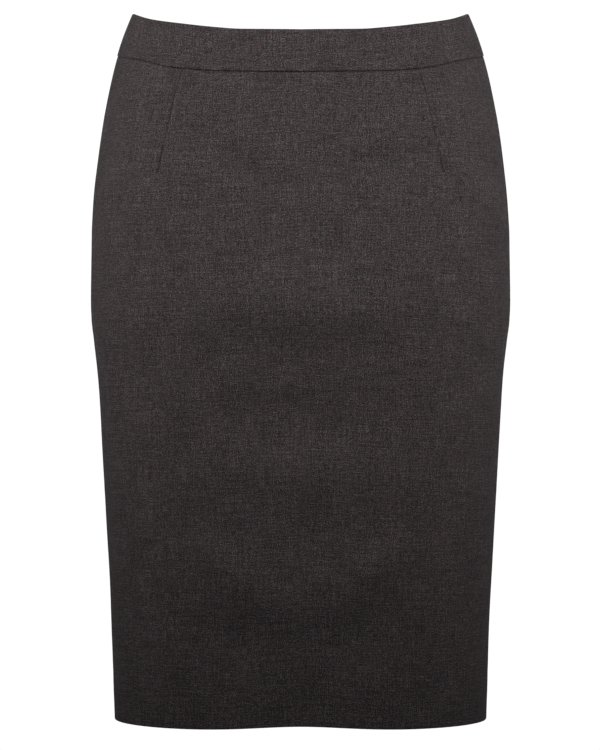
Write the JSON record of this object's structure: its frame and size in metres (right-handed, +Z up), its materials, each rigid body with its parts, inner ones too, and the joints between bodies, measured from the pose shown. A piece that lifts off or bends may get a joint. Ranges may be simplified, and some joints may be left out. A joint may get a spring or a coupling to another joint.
{
  "type": "pencil skirt",
  "caption": "Knee-length pencil skirt in fine suiting with a shaped waistband, front and back darts, a concealed centre back zip and a lapped walking vent, filled out as worn.",
  "frame": {"origin": "middle of the waist opening, level with the middle of the waistband at the side seams, where the skirt is held", "axes": "+Z up along the skirt's length, +Y towards its back, +X to the right as its front is seen"},
  "size_m": [0.3604, 0.2506, 0.6057],
  "materials": {
    "suiting": "matt worsted wool, charcoal with brown and blue-grey flecks",
    "zip_tape": "woven charcoal tape",
    "zip_coil": "charcoal nylon coil",
    "zip_metal": "satin charcoal enamel"
  },
  "bodies": {
    "skirt": {"front_panel": "suiting", "back_panel_right": "suiting", "back_panel_left": "suiting", "waistband_front": "suiting", "waistband_back_right": "suiting", "waistband_back_left": "suiting", "zip_tape_right": "zip_tape", "zip_tape_left": "zip_tape", "zip_chain": "zip_coil", "zip_slider": "zip_metal"},
    "zip_pull": {"zip_pull": "zip_metal"}
  },
  "joints": [
    {"name": "zip_pull_hinge", "type": "hinge", "parent": "skirt", "child": "zip_pull", "pos_m": [0, 0.10085, 0.00268], "axis": [1, 0, 0], "range_deg": [0, 150]}
  ]
}
